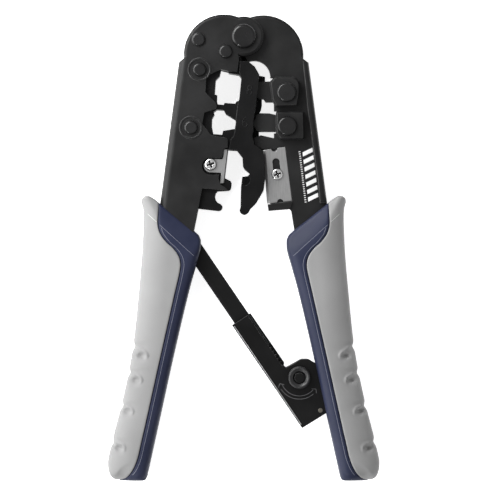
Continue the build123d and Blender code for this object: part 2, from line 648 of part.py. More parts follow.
with BuildPart() as release_knob:
    with BuildSketch(level(KNOB_BASE)):
        with Locations(KNOB_AT):
            Circle(KNOB_R)
            with PolarLocations(KNOB_R + 0.25, 24):
                Circle(0.5, mode=Mode.SUBTRACT)
    extrude(amount=4.0)
    with Locations((*KNOB_AT, MID + KNOB_BASE + 4.0)):
        Cylinder(2.6, 1.0, align=HANG, mode=Mode.SUBTRACT)
    with Locations((*KNOB_AT, MID + KNOB_BASE)):
        Cylinder(KNOB_SHAFT_R, 10, mode=Mode.SUBTRACT)

with BuildPart() as release_shaft:
    with Locations((*KNOB_AT, MID - HOUSING_HALF)):
        Cylinder(KNOB_SHAFT_R, HOUSING_HALF + KNOB_BASE + 3.0, align=STAND)
    with Locations((*KNOB_AT, MID + KNOB_BASE + 3.0)):
        Cylinder(2.0, 0.6, align=STAND)

with BuildPart() as pawl:
    with BuildSketch(Plane(origin=(*KNOB_AT, MID - 1.3), x_dir=(*along((0, 0), PAWL_ANGLE, 1.0), 0))):
        Circle(2.2)
        Polygon((0, -2.1), (PAWL_REACH, 0.9), (PAWL_REACH, 1.6), (0, 2.1), align=None)
        Circle(KNOB_SHAFT_R, mode=Mode.SUBTRACT)
    extrude(amount=2.6)

with BuildPart() as pawl_spring:
    with Locations((*KNOB_AT, MID + 1.6)):
        Cylinder(3.0, 0.7, align=STAND)
        Cylinder(2.3, 0.7, align=STAND, mode=Mode.SUBTRACT)
    with Locations((KNOB_AT[0] + 2.65, KNOB_AT[1], MID + 1.6)):
        Box(0.7, 6.4, 0.7, align=(Align.CENTER, Align.MIN, Align.MIN))

# ======================================================================================
# Grips: hard core and soft overmould on each tang
# ======================================================================================
GRIP = [
    (-40.6, -65.3), (-37.8, -65.0), (-34.6, -68.0), (-33.8, -69.0), (-20.2, -79.5),
    (-17.6, -82.6), (-17.8, -87.0), (-22.0, -102.6), (-28.4, -129.5), (-39.8, -181.4),
    (-50.7, -181.4), (-54.6, -180.3), (-55.7, -174.9), (-54.6, -168.1), (-49.8, -149.9),
    (-47.0, -137.0), (-45.1, -125.7), (-42.8, -103.7), (-41.2, -85.0), (-40.8, -70.6),
    (-41.9, -67.4),
]
SOFT_SIDE = [
    (-34.6, -60.0), (-34.9, -76.8), (-33.8, -80.5), (-31.4, -83.9), (-28.3, -86.8),
    (-26.2, -89.9), (-25.5, -92.8), (-25.7, -95.4), (-33.7, -131.0), (-41.3, -165.1),
    (-44.3, -175.7), (-48.9, -184.0), (-60.0, -184.0), (-60.0, -60.0),
]
LINER = [
    (-35.2, -62.0), (-38.0, -85.0), (-49.8, -164.8), (-36.0, -164.8), (-19.0, -80.0),
    (-15.0, -62.0),
]
LINER_HALF = 8.6
GRIP_SIDE_HALF = 6.5
GRIP_FACE = 0.7               # width of a grip's face over its full width
BAR_SWEEP = [
    (-17.5, -75.8), (-2.6, -104.5), (-19.5, -115.5), (-29.2, -84.5), (-28.9, -78.7), (-24.0, -76.0),
]
HOUSING_SWEEP = [
    (18, -122.0), (29.0, -125.2), (35.2, -131.2), (41.4, -139.4), (43.4, -146.0), (42.7, -152.2),
    (38.5, -154.9), (30.0, -161.4), (20, -161.4),
]


def drawn_in(outline):
    """Outline of a grip's face: the grip's outline drawn in towards its middle line."""
    face = []
    for x, y in outline:
        middle = math.copysign(29.5 - 0.168 * (y + 80), x)
        face.append((middle + GRIP_FACE * (x - middle), -125 + 0.965 * (y + 125)))
    return face


def grip_blank(outline):
    """Whole grip, with sloped rims, before it is split into core and overmould."""
    with BuildPart() as blank:
        with BuildSketch(level(GRIP_SIDE_HALF)):
            Polygon(*outline, align=None)
        with BuildSketch(level(GRIP_HALF)):
            Polygon(*drawn_in(outline), align=None)
        loft(ruled=True)
        with BuildSketch(level(0)):
            Polygon(*outline, align=None)
        extrude(amount=GRIP_SIDE_HALF)
        mirror(about=level(0))
    return blank.part


def grip_core(blank, overmould, place, sweep_outline, sweep_half):
    """Hard core: what the overmould leaves, hollow for the channel and what moves in it."""
    with BuildPart() as core:
        add(blank)
        add(overmould, mode=Mode.SUBTRACT)
        with BuildSketch(level(-CHANNEL_HALF)):
            Polygon(*place(TANG), align=None)
        extrude(amount=2 * CHANNEL_HALF, mode=Mode.SUBTRACT)
        with BuildSketch(level(-sweep_half)):
            Polygon(*sweep_outline, align=None)
        extrude(amount=2 * sweep_half, mode=Mode.SUBTRACT)
    return core.part


def grip_overmould(blank, place):
    """Soft outer side, moulded over the liner."""
    with BuildPart() as soft:
        add(blank)
        with BuildSketch(level(-2 * GRIP_HALF)):
            Polygon(*place(SOFT_SIDE), align=None)
        extrude(amount=4 * GRIP_HALF, mode=Mode.INTERSECT)
        with BuildSketch(level(-LINER_HALF)):
            Polygon(*place(LINER), align=None)
        extrude(amount=2 * LINER_HALF, mode=Mode.SUBTRACT)
    return soft.part


# ---- write every piece ----------------------------------------------------------------
for piece, name in (
    (left_frame, "left_frame"), (die_body, "die_body"), (die_rivets, "die_rivets"),
    (pivot_rivet, "pivot_rivet"), (pivot_washers, "pivot_washers"),
    (return_spring, "return_spring"), (strip_blade, "strip_blade"),
    (strip_blade_screw, "strip_blade_screw"), (strut_anchor_pin, "strut_anchor_pin"),
    (right_frame, "right_frame"), (pusher_rivets, "pusher_rivets"),
    (cutter_blade, "cutter_blade"), (cutter_screw, "cutter_screw"),
    (housing_pivot_pin, "housing_pivot_pin"), (ratchet_bar, "ratchet_bar"),
    (ratchet_housing, "ratchet_housing"), (housing_stop_pin, "housing_stop_pin"),
    (release_knob, "release_knob"), (release_shaft, "release_shaft"), (pawl, "pawl"),
    (pawl_spring, "pawl_spring"),
):
    save(piece.part, name)

for name, spec in FORK.items():
    save(pusher(spec), name)
    save(link_pin(spec), name.replace("pusher", "link_pin"))

for size, shape in PUNCH_SHAPE.items():
    save(punch_block(shape["spec"], shape["width"], shape["front"]), f"punch_block_{size}")
    save(contact_comb(shape["spec"], shape["contacts"], shape["front"]), f"contact_comb_{size}")
    save(strain_bar(shape["spec"], shape["width"] - 1, shape["front"]), f"strain_bar_{size}")

for side, place, sweep_outline, sweep_half in (
    ("left", list, BAR_SWEEP, BAR_HALF_THICK + 0.8),
    ("right", mirrored, HOUSING_SWEEP, HOUSING_HALF + 0.5),
):
    blank = grip_blank(place(GRIP))
    overmould = grip_overmould(blank, place)
    save(overmould, f"{side}_grip_overmould")
    save(grip_core(blank, overmould, place, sweep_outline, sweep_half), f"{side}_grip_core")
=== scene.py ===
"""Looks of the modular-plug crimping tool: grips, knob, raised marks, materials and studio.

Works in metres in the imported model's frame. Outlines below are in millimetres, for the left
grip; the right grip is their mirror image."""
import json
import math

import bpy
import numpy as np
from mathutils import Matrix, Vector


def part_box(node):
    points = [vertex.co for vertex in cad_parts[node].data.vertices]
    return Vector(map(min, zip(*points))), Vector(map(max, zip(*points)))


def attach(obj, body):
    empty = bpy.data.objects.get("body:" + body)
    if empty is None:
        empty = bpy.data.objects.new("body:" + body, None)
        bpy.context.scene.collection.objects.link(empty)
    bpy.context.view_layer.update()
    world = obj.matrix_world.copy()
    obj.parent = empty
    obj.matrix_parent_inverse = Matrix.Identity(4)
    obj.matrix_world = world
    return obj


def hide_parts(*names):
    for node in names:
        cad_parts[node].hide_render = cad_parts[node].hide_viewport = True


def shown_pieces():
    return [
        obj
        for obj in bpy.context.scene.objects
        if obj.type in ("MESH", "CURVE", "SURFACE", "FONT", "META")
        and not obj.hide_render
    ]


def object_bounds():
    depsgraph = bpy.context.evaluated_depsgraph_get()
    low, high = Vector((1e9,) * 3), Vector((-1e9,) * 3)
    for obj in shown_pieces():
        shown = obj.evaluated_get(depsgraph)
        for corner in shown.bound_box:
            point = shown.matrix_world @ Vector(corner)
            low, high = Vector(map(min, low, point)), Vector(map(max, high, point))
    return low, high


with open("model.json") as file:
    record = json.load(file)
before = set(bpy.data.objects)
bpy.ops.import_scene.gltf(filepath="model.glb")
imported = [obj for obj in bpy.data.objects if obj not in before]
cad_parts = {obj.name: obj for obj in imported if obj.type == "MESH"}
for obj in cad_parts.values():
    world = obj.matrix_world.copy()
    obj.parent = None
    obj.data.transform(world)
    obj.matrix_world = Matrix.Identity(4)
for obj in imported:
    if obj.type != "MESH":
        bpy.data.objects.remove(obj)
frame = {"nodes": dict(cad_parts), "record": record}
CAD_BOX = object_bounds()
MM = 0.001
GRIP_LOW, GRIP_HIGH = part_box("left_grip_overmould")
MID = (GRIP_LOW.z + GRIP_HIGH.z) / 2
HALF = (GRIP_HIGH.z - GRIP_LOW.z) / 2 / MM
EDGE_X = -GRIP_LOW.x / MM
CURVE_STEPS = 24
# sections across a line: (side, height), in half widths and as parts of the height
RIBBON_SECTION = [(-1.0, 0.0), (-0.75, 0.8), (-0.3, 1.0), (0.3, 1.0), (0.75, 0.8), (1.0, 0.0)]
# the same with heights in millimetres over the grip's surface
BEAD_SECTION = [(-1, -0.15), (-0.5, 0.05), (0.5, 0.05), (1, -0.15)]


# ---- mesh helpers --------------------------------------------------------------------
def new_object(name, points, faces, sharp_deg=40.0):
    """Smooth-shaded mesh object from points in metres."""
    mesh = bpy.data.meshes.new(name)
    mesh.from_pydata([tuple(p) for p in points], [], faces)
    mesh.validate()
    mesh.update()
    obj = bpy.data.objects.new(name, mesh)
    bpy.context.scene.collection.objects.link(obj)
    smooth(obj, sharp_deg)
    return obj


def smooth(obj, sharp_deg=40.0):
    """Smooth shading with creases kept sharp."""
    for polygon in obj.data.polygons:
        polygon.use_smooth = True
    obj.data.set_sharp_from_angle(angle=math.radians(sharp_deg))


def cut(obj, cutter):
    """Takes the cutter's volume out of obj for good, and removes the cutter."""
    boolean = obj.modifiers.new("cut", "BOOLEAN")
    boolean.operation = "DIFFERENCE"
    boolean.solver = "EXACT"
    boolean.object = cutter
    bpy.context.view_layer.update()
    graph = bpy.context.evaluated_depsgraph_get()
    mesh = bpy.data.meshes.new_from_object(obj.evaluated_get(graph))
    obj.modifiers.clear()
    old = obj.data
    obj.data = mesh
    bpy.data.meshes.remove(old)
    bpy.data.objects.remove(cutter)
    smooth(obj)


def extruded(ring, low, high):
    """Points and faces over a counter-clockwise ring, between two levels from the middle plane."""
    n = len(ring)
    points = [(x * MM, y * MM, MID + z * MM) for z in (low, high) for x, y in ring]
    faces = [tuple(range(n - 1, -1, -1)), tuple(range(n, 2 * n))]
    faces += [(i, (i + 1) % n, n + (i + 1) % n, n + i) for i in range(n)]
    return points, faces


def prism(name, outline, low, high):
    """Closed solid over an outline that runs either way round."""
    area = sum(a[0] * b[1] - b[0] * a[1] for a, b in zip(outline, outline[1:] + outline[:1]))
    ring = outline if area > 0 else outline[::-1]
    return new_object(name, *extruded(ring, low, high))


def ribbon(centre, half_width, low, high, closed=False):
    """Points and faces of a band of rounded section that follows a line of XY points."""
    line = np.array(centre, float)
    n = len(line)
    if closed:
        ahead = np.roll(line, -1, 0) - np.roll(line, 1, 0)
        ahead /= np.linalg.norm(ahead, axis=1)[:, None]
        over = np.stack([-ahead[:, 1], ahead[:, 0]], 1)
    else:
        over = across_line(line)
    points, faces = [], []
    for i in range(n):
        for across, up in RIBBON_SECTION:
            x, y = line[i] + over[i] * across * half_width
            points.append((x * MM, y * MM, MID + (low + (high - low) * up) * MM))
    m = len(RIBBON_SECTION)
    for i in range(n if closed else n - 1):
        j = (i + 1) % n
        for k in range(m):
            q = (k + 1) % m
            faces.append((i * m + k, i * m + q, j * m + q, j * m + k))
    if not closed:
        faces.append(tuple(range(m - 1, -1, -1)))
        faces.append(tuple((n - 1) * m + k for k in range(m)))
    return points, faces


def joined(name, shapes, sharp_deg=40.0):
    """One object from several (points, faces) pairs."""
    points, faces = [], []
    for some_points, some_faces in shapes:
        base = len(points)
        points += some_points
        faces += [tuple(base + i for i in f) for f in some_faces]
    return new_object(name, points, faces, sharp_deg)


def arc(centre, radius, start, end, steps):
    """XY points along an arc, angles in degrees."""
    x, y = centre
    return [
        (x + radius * math.cos(math.radians(a)), y + radius * math.sin(math.radians(a)))
        for a in np.linspace(start, end, steps)
    ]


def run_along(line):
    """Distance run along a polyline at each of its points."""
    return np.concatenate([[0], np.cumsum(np.linalg.norm(np.diff(line, axis=0), axis=1))])


def across_line(line):
    """Unit vector to the left of an open polyline at each of its points."""
    ahead = np.gradient(line, axis=0)
    ahead /= np.linalg.norm(ahead, axis=1)[:, None]
    return np.stack([-ahead[:, 1], ahead[:, 0]], 1)


def through(points, count):
    """Evenly spaced points on a centripetal Catmull-Rom curve through the given points."""
    p = np.array(points, float)
    p = np.vstack([2 * p[0] - p[1], p, 2 * p[-1] - p[-2]])
    out = []
    for a, b, c, d in zip(p, p[1:], p[2:], p[3:]):
        t0 = 0.0
        t1 = t0 + np.linalg.norm(b - a) ** 0.5
        t2 = t1 + np.linalg.norm(c - b) ** 0.5
        t3 = t2 + np.linalg.norm(d - c) ** 0.5
        for t in np.linspace(t1, t2, CURVE_STEPS, endpoint=False):
            ab = (t1 - t) / (t1 - t0) * a + (t - t0) / (t1 - t0) * b
            bc = (t2 - t) / (t2 - t1) * b + (t - t1) / (t2 - t1) * c
            cd = (t3 - t) / (t3 - t2) * c + (t - t2) / (t3 - t2) * d
            low = (t2 - t) / (t2 - t0) * ab + (t - t0) / (t2 - t0) * bc
            high = (t3 - t) / (t3 - t1) * bc + (t - t1) / (t3 - t1) * cd
            out.append((t2 - t) / (t2 - t1) * low + (t - t1) / (t2 - t1) * high)
    out.append(p[-2])
    out = np.array(out)
    run = run_along(out)
    at = np.linspace(0, run[-1], count)
    return np.stack([np.interp(at, run, out[:, i]) for i in (0, 1)], 1)


def distance(xy, line):
    """Distance of each XY point from a polyline."""
    best = np.full(len(xy), 1e9)
    for a, b in zip(line[:-1], line[1:]):
        ab = b - a
        t = np.clip(((xy - a) @ ab) / max(ab @ ab, 1e-12), 0, 1)
        best = np.minimum(best, np.linalg.norm(xy - a - t[:, None] * ab, axis=1))
    return best


# ---- grips ---------------------------------------------------------------------------
OUTER = [
    (-41.9, -67.6), (-41.1, -70.6), (-41.3, -85.0), (-42.8, -103.7), (-45.1, -125.7),
    (-47.0, -137.0), (-49.8, -149.9), (-54.4, -168.1), (-55.5, -174.9), (-54.3, -179.7),
    (-52.6, -181.0), (-50.9, -181.25),
]
SEAM = [
    (-34.6, -68.0), (-34.7, -72.5), (-34.8, -76.8), (-33.8, -80.5), (-31.4, -83.9), (-28.3, -86.8),
    (-26.2, -89.9), (-25.5, -92.8), (-25.7, -95.4), (-28.3, -107.0), (-33.7, -131.0),
    (-41.3, -165.1), (-43.4, -173.5), (-45.6, -177.9), (-48.0, -180.3), (-50.7, -181.15),
]
INNER = [
    (-17.6, -83.2), (-17.7, -87.0), (-19.4, -93.3), (-22.0, -102.6), (-28.4, -129.5),
    (-34.1, -155.4), (-39.55, -180.2),
]
HORN = [
    (-41.9, -67.6), (-41.5, -66.2), (-40.4, -65.3), (-38.6, -65.1), (-36.9, -66.1), (-34.6, -68.0),
]
COLLAR = [(-34.6, -68.0), (-33.6, -68.9), (-20.6, -79.2), (-18.4, -81.2), (-17.6, -83.2)]
FOOT = [(-50.7, -181.4), (-45.0, -181.4), (-41.2, -181.35), (-40.1, -181.05), (-39.55, -180.2)]
# the crease across the collar: a point on it, and the direction its facet falls in
CREASE_AT = np.array([-39.3, -72.4])
CREASE_UP = np.array([0.671, 0.741])
CREASE_LOW = CREASE_AT + np.array([19.1, -17.3])
# each finger dimple: its inner end, and its mouth at the grip's edge
DIMPLES = [
    ((-41.3, -130.4), (-46.4, -126.6)), ((-43.6, -140.4), (-48.6, -137.4)),
    ((-47.2, -153.2), (-52.0, -150.8)), ((-50.5, -168.2), (-56.0, -165.6)),
]
# rows along the grip, columns across it and steps down its wall
SOFT_STEPS = (330, 44, 8)
HARD_STEPS = (330, 26, 8)
SEAM_GAP = 0.28
LEDGE = 0.7
END_CROWDING = 0.55
BEAD_HALF_WIDTH = 0.13


def rim(d, width, drop):
    """How far a surface has fallen at a distance from an edge rounded to an ellipse."""
    s = np.clip(1 - d / width, 0, 1)
    return drop * (1 - np.sqrt(1 - s * s))


def bump(d, width):
    """Smooth bump of height 1 that fades with distance."""
    return np.exp(-((d / width) ** 2))


OUTER_LINE = through(OUTER, 700)
SEAM_LINE = through(SEAM, 500)
INNER_LINE = through(INNER, 400)
for _, mouth in DIMPLES:
    OUTER_LINE[:, 0] += 0.75 * bump(OUTER_LINE[:, 1] - mouth[1], 1.35)
OUTER_LINE[:, 0] = np.maximum(OUTER_LINE[:, 0], -EDGE_X + 0.05)
FOOT_LINE = np.array(FOOT)
TOP_LINE = np.array(HORN + COLLAR[1:])


def at_height(line, y):
    """Point of a falling line at each height y."""
    order = np.argsort(line[:, 1])
    return np.stack([np.interp(y, line[order, 1], line[order, 0]), y], 1)


def along_line(line, t):
    """Points of a polyline at fractions t of its length."""
    line = np.array(line, float)
    run = run_along(line)
    return np.stack([np.interp(t * run[-1], run, line[:, i]) for i in (0, 1)], 1)


def spread(count, ends):
    """Fractions from 0 to 1, closer together near both ends."""
    t = np.linspace(0, 1, count + 1)
    return (1 - ends) * t + ends * (1 - np.cos(math.pi * t)) / 2


def patch(left, right, top, bottom, across):
    """Grid of XY points between two side lines, bent to follow a top and a bottom edge."""
    rows = len(left)
    t = across[None, :, None]
    grid = left[:, None, :] * (1 - t) + right[:, None, :] * t
    top_bulge = along_line(top, across) - grid[0]
    run = run_along(left)
    fade = np.clip(1 - run / 9.0, 0, 1) ** 2
    grid = grid + fade[:, None, None] * top_bulge[None]
    if bottom is not None:
        bottom_bulge = along_line(bottom, across) - grid[-1]
        fade = np.clip(1 - (run[-1] - run) / 5.0, 0, 1) ** 2
        grid = grid + fade[:, None, None] * bottom_bulge[None]
    return grid.reshape(rows * len(across), 2)


def common_height(xy):
    """Half thickness of the whole grip, before the seam and the dimples."""
    z = np.full(len(xy), HALF - 0.35)
    z -= rim(distance(xy, OUTER_LINE), 11.0, 6.0)
    z -= rim(distance(xy, INNER_LINE), 4.6, 3.6)
    z -= rim(-FOOT_LINE[0, 1] + xy[:, 1], 4.0, 2.6)
    up = (xy - CREASE_AT) @ CREASE_UP
    facet = HALF - 0.45 - 0.4 * up
    z = np.where(up > -3, -0.35 * np.logaddexp(-z / 0.35, -facet / 0.35), z)
    z -= rim(distance(xy, TOP_LINE), 1.1, 0.8)
    return z


def soft_height(xy):
    """Half thickness of the grey overmould, with a pit and a lip at each dimple."""
    z = common_height(xy) - rim(distance(xy, SEAM_LINE), 1.0, 0.6)
    for inner, mouth in DIMPLES:
        a, b = np.array(inner), np.array(mouth)
        ab = b - a
        t = np.clip(((xy - a) @ ab) / (ab @ ab), 0, 1)
        off = xy - a - t[:, None] * ab
        r = np.linalg.norm(off, axis=1)
        above = off[:, 1] > 0
        z -= (0.55 + 0.1 * t) * bump(r, np.where(above, 0.95, 2.0))
        far = xy - a - np.array([-0.5, 0.1])
        z -= 1.35 * np.exp(-((far[:, 0] / 1.5) ** 2) - (far[:, 1] / 1.0) ** 2)
        lip = np.where(above | (t <= 0), 0.58, 0.0) * (1 - 0.5 * t)
        lip *= np.clip((off[:, 1] + 1.6) / 1.2, 0, 1)
        z += lip * bump(r - 1.95, 0.55)
    return z


def hard_height(xy):
    """Half thickness of the navy core."""
    d = distance(xy, SEAM_LINE)
    return common_height(xy) - 0.25 - rim(d, 0.7, 0.5)


def raised_line(name, line, height, half_width, mirror, body):
    """Fine bead that follows a line of XY points over a grip's surface."""
    sign = -1.0 if mirror else 1.0
    over = across_line(line)
    points, faces = [], []
    for across, up in BEAD_SECTION:
        xy = line + over * across * half_width
        for (x, y), z in zip(xy, height(xy)):
            points.append((sign * x * MM, y * MM, MID + (z + up) * MM))
    n, m = len(line), len(BEAD_SECTION)
    for i in range(n - 1):
        for k in range(m):
            q = (k + 1) % m
            ring = (k * n + i, q * n + i, q * n + i + 1, k * n + i + 1)
            faces.append(ring if mirror else ring[::-1])
    for i in (0, n - 1):
        ring = tuple(k * n + i for k in range(m))
        faces.append(ring if (i == 0) != mirror else ring[::-1])
    bead = new_object(name, points, faces)
    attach(bead, body)
    return bead


def solid(name, grid, height, steps, mirror, ledge):
    """Closed mesh: front and back follow the height, with walls all round."""
    rows, cols, walls = steps
    sign = -1.0 if mirror else 1.0
    index, points = {}, []
    outward = np.gradient(grid.reshape(rows + 1, cols + 1, 2)[:, 0], axis=0)
    outward = np.stack([outward[:, 1], -outward[:, 0]], 1)
    outward /= np.linalg.norm(outward, axis=1)[:, None] + 1e-9
    for j in range(rows + 1):
        for k in range(cols + 1):
            rim_point = j in (0, rows) or k in (0, cols)
            for w in range(walls + 1):
                if w not in (0, walls) and not rim_point:
                    continue
                x, y = grid[j * (cols + 1) + k]
                top = height[j * (cols + 1) + k]
                z = top * (1 - 2 * w / walls)
                if ledge and k == 0 and w not in (0, walls):
                    x, y = np.array([x, y]) + outward[j] * ledge
                    z = (top - 0.9) * (1 - 2 * (w - 1) / (walls - 2))
                index[j, k, w] = len(points)
                points.append((sign * x * MM, y * MM, MID + z * MM))
    faces = []

    def quad(a, b, c, d):
        ring = tuple(index[i] for i in (a, b, c, d))
        faces.append(ring[::-1] if mirror else ring)

    for j in range(rows):
        for k in range(cols):
            quad((j, k, 0), (j + 1, k, 0), (j + 1, k + 1, 0), (j, k + 1, 0))
            quad((j, k, walls), (j, k + 1, walls), (j + 1, k + 1, walls), (j + 1, k, walls))
    for w in range(walls):
        for j in range(rows):
            quad((j, 0, w), (j, 0, w + 1), (j + 1, 0, w + 1), (j + 1, 0, w))
            quad((j, cols, w), (j + 1, cols, w), (j + 1, cols, w + 1), (j, cols, w + 1))
        for k in range(cols):
            quad((0, k, w), (0, k + 1, w), (0, k + 1, w + 1), (0, k, w + 1))
            quad((rows, k, w), (rows, k, w + 1), (rows, k + 1, w + 1), (rows, k + 1, w))
    return new_object(name, points, faces, 55.0)


def row_heights(top, bottom, count):
    """Heights of the rows, closer together near the bottom end."""
    t = np.linspace(0, 1, count + 1)
    t = np.where(t > 0.8, 0.8 + 0.2 * np.sin((t - 0.8) / 0.2 * math.pi / 2), t)
    t = t / t[-1]
    return top + (bottom - top) * t


def soft_grid():
    """Grid of XY points over the grey overmould of the left grip."""
    rows, cols, _ = SOFT_STEPS
    y = row_heights(OUTER_LINE[0, 1], -181.1, rows)
    tilt = (SEAM_LINE[0, 1] - OUTER_LINE[0, 1]) * np.clip(1 - np.arange(rows + 1) / 40, 0, 1)
    left = at_height(OUTER_LINE, y)
    right = at_height(SEAM_LINE, y + tilt)
    right[:, 0] -= SEAM_GAP
    return patch(left, right, HORN, None, spread(cols, END_CROWDING))


def hard_grid():
    """Grid of XY points over the navy core of the left grip."""
    rows, cols, _ = HARD_STEPS
    y = row_heights(SEAM_LINE[0, 1], SEAM_LINE[-1, 1], rows)
    drop = np.interp(y, [-125.0, -93.0, -80.0, -68.0], [0.0, 4.5, 10.0, 15.2])
    left = at_height(SEAM_LINE, y)
    left[:, 0] += SEAM_GAP
    low = np.maximum(y - drop, INNER_LINE[-1, 1])
    right = at_height(INNER_LINE, low)
    return patch(left, right, COLLAR, FOOT, spread(cols, END_CROWDING))


# room inside the grips for the ratchet bar and for its housing, open towards the middle
BAR_ROOM_Z, HOUSING_ROOM_Z = 2.3, 4.9
BAR_ROOM = [
    (-17.5, -75.8), (-2.6, -104.5), (-19.5, -115.5), (-29.2, -84.5), (-28.9, -78.7), (-24.0, -76.0),
]
HOUSING_ROOM = [
    (18, -122.0), (29.0, -125.2), (35.2, -131.2), (41.4, -139.4), (43.4, -146.0), (42.7, -152.2),
    (38.5, -154.9), (30.0, -161.4), (20, -161.4),
]

soft_xy, hard_xy = soft_grid(), hard_grid()
soft_z, hard_z = soft_height(soft_xy), hard_height(hard_xy)
for side in ("left", "right"):
    mirror = side == "right"
    soft = solid(f"{side}_grip_soft", soft_xy, soft_z, SOFT_STEPS, mirror, 0.0)
    hard = solid(f"{side}_grip_hard", hard_xy, hard_z, HARD_STEPS, mirror, LEDGE)
    if mirror:
        for piece in (soft, hard):
            cut(piece, prism("room", HOUSING_ROOM, -HOUSING_ROOM_Z, HOUSING_ROOM_Z))
    else:
        cut(hard, prism("room", BAR_ROOM, -BAR_ROOM_Z, BAR_ROOM_Z))
    for piece, node, slot in (
        (soft, "grip_overmould", "grey_rubber"), (hard, "grip_core", "blue_plastic"),
    ):
        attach(piece, f"{side}_handle")
        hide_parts(f"{side}_{node}")

crease = CREASE_AT + np.linspace(0, 1, 160)[:, None] * (CREASE_LOW - CREASE_AT)
crosses = int(np.argmin([distance(p[None], SEAM_LINE)[0] for p in crease]))
inset = SEAM_LINE + np.array([1.25, 0.0]) * np.clip(np.arange(len(SEAM_LINE)) / 60, 0.9, 1)[:, None]
inset = inset[(SEAM_LINE[:, 1] < -78) & (SEAM_LINE[:, 1] > -179)]
beads = {}
for side in ("left", "right"):
    mirror = side == "right"
    for part, line, height in (
        ("crease_soft", crease[2:crosses - 4], soft_height),
        ("crease_hard", crease[crosses + 5:], hard_height),
        ("seam_line", inset, hard_height),
    ):
        name = f"{side}_{part}"
        beads[name] = raised_line(
            name, line, height, BEAD_HALF_WIDTH, mirror, f"{side}_handle"
        )

# ---- knob: fine ribs round the rim, dished face, open centre ----------------------------
KNOB_LOW, KNOB_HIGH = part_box("release_knob")
knob_x, knob_y = (KNOB_LOW.x + KNOB_HIGH.x) / 2, (KNOB_LOW.y + KNOB_HIGH.y) / 2
knob_r = (KNOB_HIGH.x - KNOB_LOW.x) / 2
knob_tall = KNOB_HIGH.z - KNOB_LOW.z
RIBS = 40
STEPS_PER_RIB = 8
RIB_DEPTH = 0.055
# (radius, height, how far the ribs show), as parts of the knob's own
KNOB_PROFILE = [
    (0.34, 0.0, 0), (0.94, 0.0, 0.3), (0.985, 0.05, 1), (0.985, 0.45, 1), (0.985, 0.84, 1),
    (0.96, 0.93, 1), (0.91, 0.985, 0.6), (0.84, 1.0, 0.1), (0.76, 0.985, 0), (0.70, 0.93, 0),
    (0.66, 0.90, 0), (0.60, 0.90, 0), (0.56, 0.86, 0), (0.55, 0.72, 0), (0.54, 0.42, 0),
    (0.50, 0.40, 0), (0.34, 0.40, 0),
]
turns = RIBS * STEPS_PER_RIB
knob_points, knob_faces = [], []
for i in range(turns):
    angle = 2 * math.pi * i / turns
    tooth = 0.5 + 0.5 * math.cos(RIBS * angle)
    for r, z, ribbed in KNOB_PROFILE:
        radius = knob_r * (r - RIB_DEPTH * ribbed * (1 - tooth ** 0.7))
        knob_points.append((
            knob_x + radius * math.cos(angle), knob_y + radius * math.sin(angle),
            KNOB_LOW.z + z * knob_tall,
        ))
m = len(KNOB_PROFILE)
for i in range(turns):
    j = (i + 1) % turns
    for k in range(m):
        q = (k + 1) % m
        knob_faces.append((i * m + k, j * m + k, j * m + q, i * m + q))
knob = new_object("ribbed_knob", knob_points, knob_faces, 50.0)
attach(knob, "release")
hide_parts("release_knob")

# ---- raised and printed marks ----------------------------------------------------------
HOUSING_TOP = (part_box("ratchet_housing")[1].z - MID) / MM
CAST_TOP = (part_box("die_body")[1].z - MID) / MM
PLATE_TOP = (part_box("cutter_blade")[1].z - MID) / MM
knob_at = (knob_x / MM, knob_y / MM)
ARROW_LINE = (0.14, HOUSING_TOP - 0.05, HOUSING_TOP + 0.1)
arrow = [
    ribbon(arc(knob_at, radius, start, end, 40), *ARROW_LINE)
    for radius, start, end in ((7.6, 205, 318), (8.9, 212, 311))
]
for angle, turn in ((205, -1), (318, 1)):
    tip = arc(knob_at, 8.3, angle + turn * 7, angle + turn * 7, 1)[0]
    for radius in (6.9, 9.6):
        back = arc(knob_at, radius, angle - turn, angle - turn, 1)[0]
        half_way = ((tip[0] + back[0]) / 2, (tip[1] + back[1]) / 2)
        arrow.append(ribbon([tip, half_way, back], *ARROW_LINE))
release_arrow = joined("release_arrow", arrow)
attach(release_arrow, "strut_housing")

# painted highlight: a thin bright steel bead along the housing's lower-left fold, for the light
# that the bend catches
(fold_x, fold_y), (fold_end_x, fold_end_y) = (-4.1, -118.0), (23.95, -159.2)
fold = ribbon(
    [(fold_x + t * (fold_end_x - fold_x), fold_y + t * (fold_end_y - fold_y))
     for t in np.linspace(0.01, 0.985, 60)],
    0.2, HOUSING_TOP - 0.15, HOUSING_TOP + 0.05,
)
fold_line = new_object("housing_fold", *fold)
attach(fold_line, "strut_housing")

NUMERAL_LINE = (0.2, CAST_TOP - 0.05, CAST_TOP + 0.16)
# the numeral 8 is two rings; the 6 is a ring and a tail
strokes = [
    ribbon(arc(centre, radius, 0, 345, 24), *NUMERAL_LINE, True)
    for centre, radius in (((2.55, -21.1), 0.78), ((2.45, -22.9), 0.98), ((0.55, -35.9), 0.95))
]
strokes.append(ribbon(arc((2.1, -35.3), 2.5, 176, 112, 14), *NUMERAL_LINE))
numerals = joined("nest_numerals", strokes)
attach(numerals, "left_handle")

PRINT_AT = np.array([25.35, -46.2])
PRINT_DOWN = np.array([2.75, -23.0]) / math.hypot(2.75, 23.0)
PRINT_OVER = np.array([-PRINT_DOWN[1], PRINT_DOWN[0]])
PRINT_SUNK, PRINT_PROUD = -0.02, 0.03
BAR_STEP, TICK_STEP = 3.1, 0.9


def print_block(a, b, left, right, lean):
    """Thin printed bar across the strip, from a to b along it."""
    ring = []
    for d, o in ((a, left), (b, left), (b + lean, right), (a + lean, right)):
        ring.append(tuple(PRINT_AT + PRINT_DOWN * d + PRINT_OVER * o))
    return extruded(ring, PLATE_TOP + PRINT_SUNK, PLATE_TOP + PRINT_PROUD)


